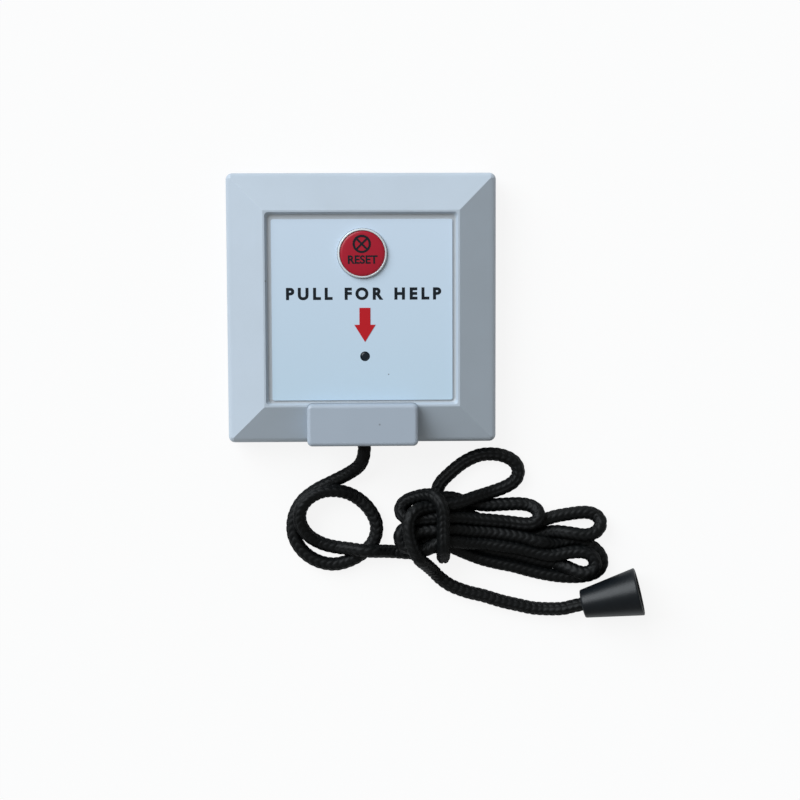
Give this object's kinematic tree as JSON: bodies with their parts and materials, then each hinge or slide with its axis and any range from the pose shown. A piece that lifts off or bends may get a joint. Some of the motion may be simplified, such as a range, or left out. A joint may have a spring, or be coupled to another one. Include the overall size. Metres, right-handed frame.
{
  "type": "emergency pull cord alarm",
  "caption": "Square wall call unit with a cancel button, a lamp and an arrow on its face, and a hood with a knotted pull cord that ends in a hollow conical knob.",
  "frame": {"origin": "centre of the rear face, which is the wall's surface and, with the unit on its back, the table's", "axes": "+Z out of the face, +Y towards the top of the plate, +X to the right as the face is read"},
  "size_m": [0.1369, 0.1465, 0.0205],
  "materials": {
    "shell": "fine satin moulding",
    "label": "smooth printed film",
    "red_ink": "printed",
    "clear": "clear, polished",
    "red_plastic": "smooth",
    "lens": "smoked lens",
    "laminate": "solder mask",
    "black_plastic": "moulded",
    "white_plastic": "moulded",
    "steel": "plated",
    "battery_foil": "wrapped can",
    "copper": "enamelled wire",
    "cord": "round braid with a faint sheen",
    "knob": "satin moulding",
    "red_sleeve": "wire insulation"
  },
  "bodies": {
    "housing": {"front_cover": "shell", "rear_base": "shell", "label_panel": "label", "arrow_mark": "red_ink", "indicator_lamp": "lens", "circuit_board": "laminate", "controller_chip": "black_plastic", "radio_crystal": "steel", "antenna_coil": "copper", "battery": "battery_foil", "battery_holder": "black_plastic", "battery_contact_plate": "steel", "battery_contact_spring": "steel", "cord_hood": "shell", "cord_grommet": "black_plastic", "pull_switch_body": "black_plastic", "button_switch_body": "black_plastic", "switch_wire_red": "red_sleeve", "switch_wire_black": "black_plastic", "pull_spring": "steel", "hood_screw_1": "steel", "hood_screw_2": "steel", "board_screw_1": "steel", "board_screw_2": "steel"},
    "cancel_button": {"button_cap": "clear", "button_disc": "red_plastic"},
    "button_plunger": {"button_switch_plunger": "white_plastic"},
    "pull": {"pull_slider": "white_plastic", "slider_knot": "cord", "cord_lead": "cord", "cord_bight": "cord", "cord_hank": "cord", "cord_tail": "cord", "pull_knob": "knob", "knob_knot": "cord"},
    "switch_plunger": {"pull_switch_plunger": "red_plastic"}
  },
  "joints": [
    {"name": "cancel_press", "type": "slide", "parent": "housing", "child": "cancel_button", "axis": [0, 0, -1], "range_m": [0, 0.0005], "stiffness_N_per_m": 3000, "springref_m": -0.0002},
    {"name": "button_plunger_press", "type": "slide", "parent": "housing", "child": "button_plunger", "axis": [0, 0, -1], "range_m": [0, 0.0005]},
    {"name": "cord_pull", "type": "slide", "parent": "housing", "child": "pull", "axis": [0, -1, 0], "range_m": [0, 0.0035], "stiffness_N_per_m": 1500, "springref_m": -0.001, "deforming": ["pull_spring"]},
    {"name": "switch_plunger_press", "type": "slide", "parent": "housing", "child": "switch_plunger", "axis": [1, 0, 0], "range_m": [0, 0.0007]}
  ],
  "couplings": [
    {"joint": "button_plunger_press", "follows": "cancel_press", "ratio": 1},
    {"joint": "switch_plunger_press", "follows": "cord_pull", "ratio": 0.2}
  ]
}
